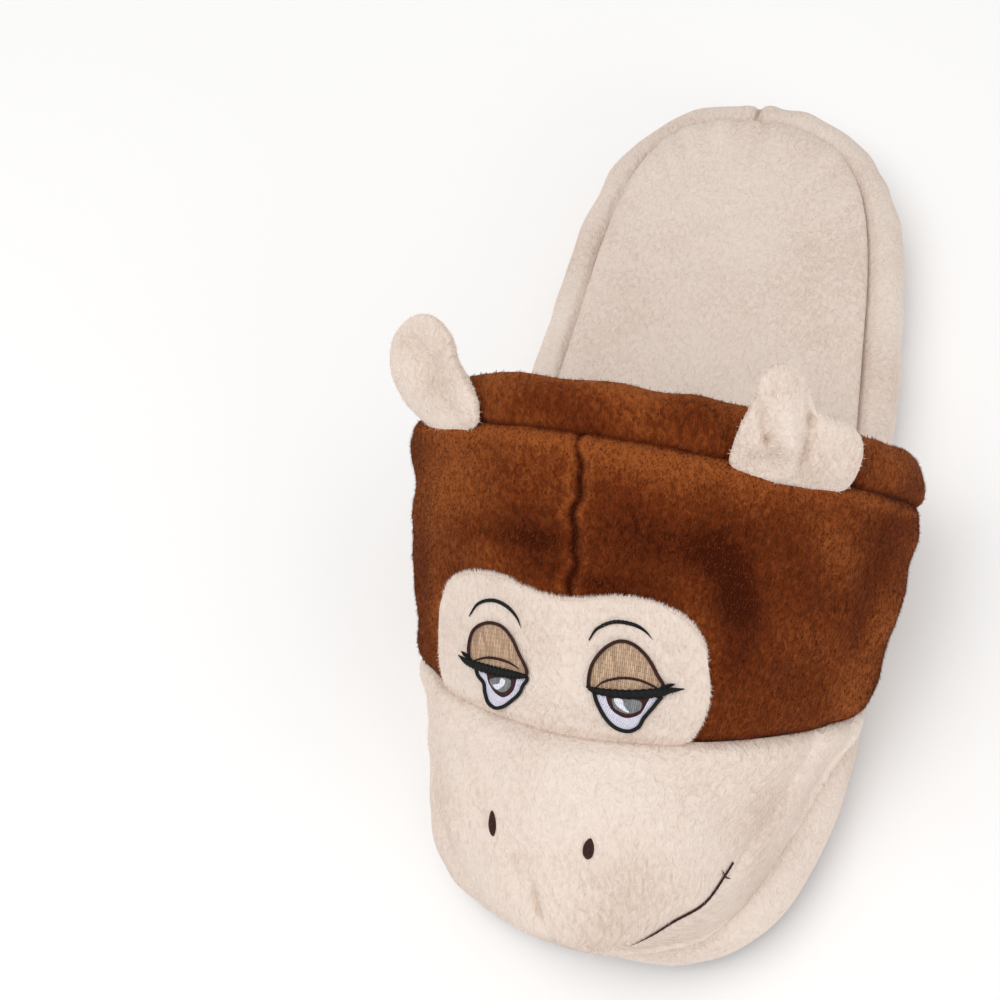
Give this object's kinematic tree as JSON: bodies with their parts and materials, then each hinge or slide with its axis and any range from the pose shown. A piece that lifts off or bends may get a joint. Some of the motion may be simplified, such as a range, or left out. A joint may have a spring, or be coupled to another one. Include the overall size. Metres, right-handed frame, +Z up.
{
  "type": "plush animal slipper",
  "caption": "Backless plush slipper for one foot: padded foam sole, hollow padded upper with a stitched sleepy animal face, cuffed collar and two small ears.",
  "frame": {"origin": "on the floor under the middle of the sole's length", "axes": "+Z up from the floor, +Y towards the heel and -Y towards the toe, +X to the wearer's left"},
  "size_m": [0.1347, 0.2802, 0.1011],
  "materials": {
    "brown_plush": "short brown plush pile with brushed nap",
    "cream_plush": "short cream plush pile over padding",
    "grip_sole": "matte dark grip sole"
  },
  "bodies": {
    "root": {"outsole": "grip_sole", "midsole": "cream_plush", "insole": "cream_plush", "upper": "brown_plush", "muzzle": "cream_plush", "cuff": "brown_plush", "face_patch": "cream_plush", "ear_left": "cream_plush", "ear_right": "cream_plush"}
  },
  "joints": []
}
